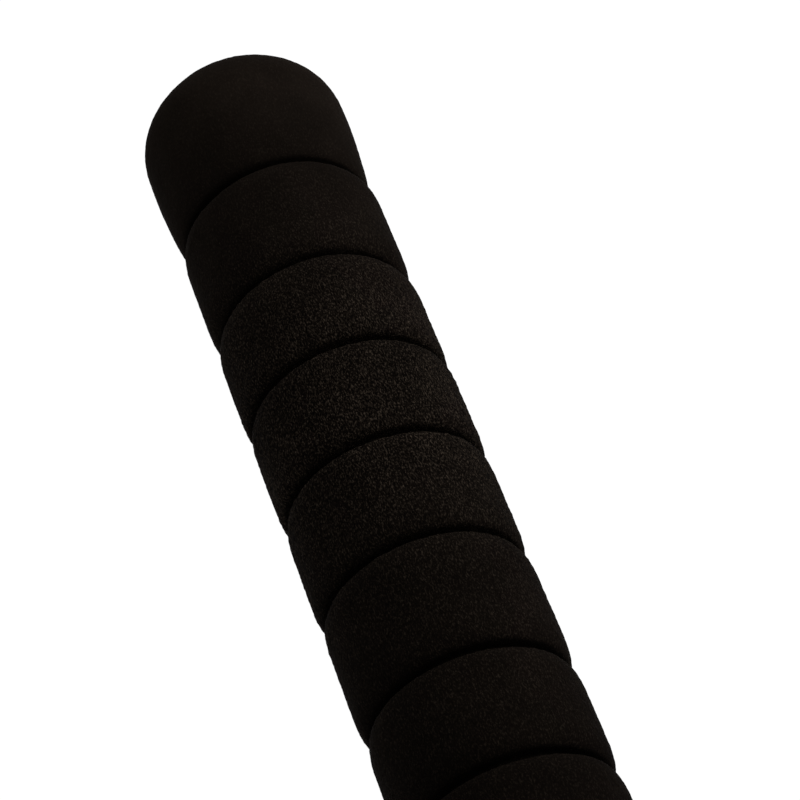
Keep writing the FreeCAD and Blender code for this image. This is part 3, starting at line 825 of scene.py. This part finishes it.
@dataclass
class Studio:
    """A white light table, three soft lights and the camera."""

    azimuth: float = 72.33
    elevation: float = 50.44
    distance_mm: float = 454.2
    focal_mm: float = 144.0
    # Where the camera looks: how far along the handle from the butt's tip, then across and above its axis
    # in the camera's own right and up directions.
    station_mm: float = 51.65
    right_mm: float = 10.5
    up_mm: float = -7.64
    sensor_mm: float = 36.0
    clip: tuple[float, float] = (0.01, 20.0)
    # The table's flat top and its curved rim, in metres, and how many rings and columns the rim has.
    table_radius: float = 2.0
    rim_height: float = 0.35
    rim_rings: int = 24
    rim_columns: int = 96
    table: LitAcrylic = LitAcrylic()
    lights: tuple[Softbox, ...] = (
        # A strip, its long side along the handle, so it reaches into the grooves on its own side.
        Softbox("strip_softbox", (0.76, 0.63, 0.25), 0.36, (0.40, 0.14), 1.10),
        # A second one beyond the domed end keeps the rib edges that face that way lighter than the others.
        Softbox("rear_softbox", (-0.30, 0.95, 0.10), 0.40, (0.20, 0.20), 0.48),
        # A weak low one on the far side stands in for the table's bounce and shows the foam in its shade.
        Softbox("bounce_strip", (-1.0, 0.12, 0.12), 0.40, (0.40, 0.10), 0.16),
    )
    wall_colour: str = "#f6f4f0"
    wall_glow: float = 0.21

    def axes(self) -> tuple[Vector, Vector, Vector]:
        """Work out the camera's own directions, with its right level with the ground.

        Returns:
            Right, up and backward, each of length 1.
        """
        turn, tilt = np.radians(self.azimuth), np.radians(self.elevation)
        right = Vector((np.cos(turn), np.sin(turn), 0.0))
        back = Vector((np.sin(turn) * np.cos(tilt), -np.cos(turn) * np.cos(tilt), np.sin(tilt)))
        return right, back.cross(right), back

    def aim(self) -> tuple[Vector, Vector]:
        """Work out where the lights and the camera point.

        Returns:
            The point on the handle's axis at the station, and the point that the camera looks at.
        """
        right, up, _ = self.axes()
        low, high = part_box("foam_grip")
        on_axis = Vector((low.x + self.station_mm * MM, 0.0, (low.z + high.z) / 2))
        return on_axis, on_axis + right * self.right_mm * MM + up * self.up_mm * MM

    def make_camera(self) -> None:
        """Put the camera level, at its distance from the point it looks at."""
        right, up, back = self.axes()
        _, target = self.aim()
        data = bpy.data.cameras.new("camera")
        data.lens = self.focal_mm
        data.sensor_width = self.sensor_mm
        data.clip_start, data.clip_end = self.clip
        camera = bpy.data.objects.new("camera", data)
        turn = Matrix((right, up, back)).transposed().to_4x4()
        camera.matrix_world = Matrix.Translation(target + back * self.distance_mm * MM) @ turn
        bpy.context.scene.collection.objects.link(camera)
        bpy.context.scene.camera = camera

    def make_floor(self) -> None:
        """Lay a white, softly glowing table under the handle, with a rim that curves up into a low wall.

        The rim is a quarter circle turned about the vertical: each of its points is (radius * cos a,
        radius * sin a, height), and its first ring is the edge of the flat top.
        """
        centre = self.table_radius, self.rim_height
        rim = arc(centre, (self.rim_height, self.rim_height), -90, 0, self.rim_rings)
        turn = np.linspace(0, 2 * np.pi, self.rim_columns, endpoint=False)
        across, height = rim[:, :1], rim[:, 1:]
        rings = np.stack([across * np.cos(turn), across * np.sin(turn), height + 0 * turn], axis=-1)
        index = np.arange(rings.size // 3).reshape(len(rim), -1)
        after = np.roll(index, -1, axis=1)
        quads = np.stack([index[:-1], index[1:], after[1:], after[:-1]], axis=-1).reshape(-1, 4)
        mesh = bpy.data.meshes.new("light_table")
        mesh.from_pydata(rings.reshape(-1, 3).tolist(), [], [index[0].tolist(), *quads.tolist()])
        floor = bpy.data.objects.new("light_table", mesh)
        bpy.context.scene.collection.objects.link(floor)
        mesh.materials.append(self.table.material())
        # Its glow would wash out the dark sides of a black object, so it lights nothing but itself.
        floor.visible_diffuse = False

    def light_room(self) -> None:
        """Hang the lights, and let pale walls light the handle a little from all round."""
        centre, _ = self.aim()
        for light in self.lights:
            light.hang(centre, self.axes())
        world = bpy.data.worlds.new("studio_walls")
        world.use_nodes = True
        surround = world.node_tree.nodes["Background"]
        surround.inputs["Color"].default_value = linear(self.wall_colour)
        surround.inputs["Strength"].default_value = self.wall_glow
        bpy.context.scene.world = world

    def build(self) -> None:
        """Set up the camera, the table and the lights."""
        self.make_camera()
        self.make_floor()
        self.light_room()
        bpy.context.scene.view_settings.view_transform = "Standard"


def main() -> None:
    """Build the handle's looks and the studio, one sub-assembly after another."""
    logging.basicConfig(level=logging.INFO, format="%(name)s: %(message)s")
    for assembly in (Studio(), Grip(), Nose(), Bearing(), Swivel()):
        assembly.build()
        LOG.info("%s is built", type(assembly).__name__)


if __name__ == "__main__":
    main()
